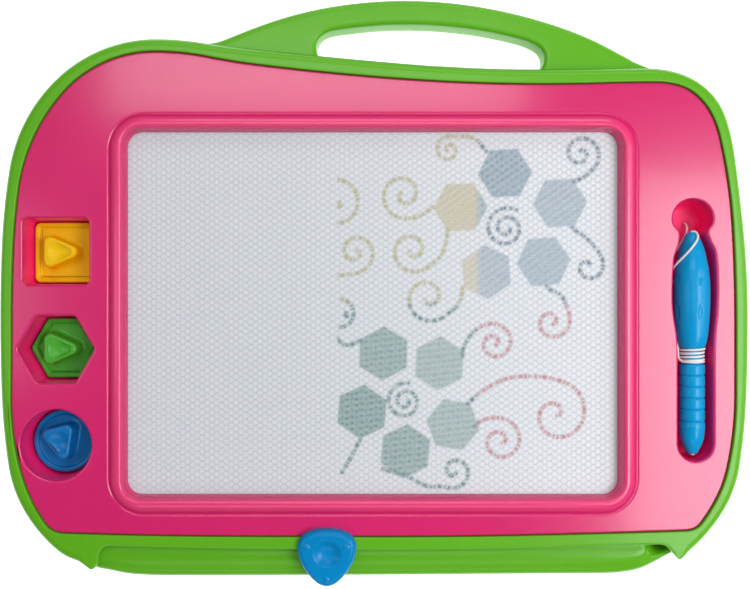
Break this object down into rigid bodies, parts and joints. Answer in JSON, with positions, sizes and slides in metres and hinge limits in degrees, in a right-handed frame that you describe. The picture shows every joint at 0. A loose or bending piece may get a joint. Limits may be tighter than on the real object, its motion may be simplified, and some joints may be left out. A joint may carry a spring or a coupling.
{
  "type": "magnetic drawing board",
  "caption": "Child's magnetic drawing board with a carry handle, a honeycomb screen, a sliding eraser, stamps in pockets and a pen on a cord.",
  "frame": {"origin": "middle of the board's box on the surface it lies on", "axes": "+X right along the screen, +Y up the board towards the carry handle, +Z out of the drawing face"},
  "size_m": [0.39, 0.307, 0.0302],
  "materials": {
    "green_plastic": "gloss",
    "pink_plastic": "gloss",
    "screen_film": "satin clear film over the cells",
    "cell_layer": "matt",
    "back_film": "matt",
    "white_plastic": "matt",
    "screw_steel": "zinc plated",
    "cord_cotton": "twisted cord",
    "magnet_rubber": "matt magnetic sheet",
    "blue_plastic": "gloss",
    "yellow_plastic": "gloss",
    "lime_plastic": "gloss",
    "tip_metal": "polished magnet"
  },
  "bodies": {
    "board": {"tray": "green_plastic", "bezel": "pink_plastic", "screen_film": "screen_film", "cell_layer": "cell_layer", "back_film": "back_film", "screen_frame": "white_plastic", "case_screws": "screw_steel", "cord_anchor": "cord_cotton"},
    "eraser": {"eraser_carriage": "white_plastic", "eraser_magnet": "magnet_rubber", "eraser_knob": "blue_plastic"},
    "pen": {"pen_barrel": "blue_plastic", "pen_grip": "blue_plastic", "pen_tip": "tip_metal", "cord_lead": "cord_cotton", "cord_wraps": "cord_cotton", "cord_return": "cord_cotton"},
    "square_stamp": {"stamp_square": "yellow_plastic", "stamp_square_magnet": "magnet_rubber"},
    "hexagon_stamp": {"stamp_hexagon": "lime_plastic", "stamp_hexagon_magnet": "magnet_rubber"},
    "round_stamp": {"stamp_round": "blue_plastic", "stamp_round_magnet": "magnet_rubber"}
  },
  "joints": [
    {"name": "eraser_slide", "type": "slide", "parent": "board", "child": "eraser", "axis": [1, 0, 0], "range_m": [-0.0985, 0.146]},
    {"name": "pen_lift", "type": "slide", "parent": "board", "child": "pen", "axis": [0, 0, 1], "range_m": [0, 0.04]},
    {"name": "stamp_square_lift", "type": "slide", "parent": "board", "child": "square_stamp", "axis": [0, 0, 1], "range_m": [0, 0.03]},
    {"name": "stamp_hexagon_lift", "type": "slide", "parent": "board", "child": "hexagon_stamp", "axis": [0, 0, 1], "range_m": [0, 0.03]},
    {"name": "stamp_round_lift", "type": "slide", "parent": "board", "child": "round_stamp", "axis": [0, 0, 1], "range_m": [0, 0.03]}
  ]
}
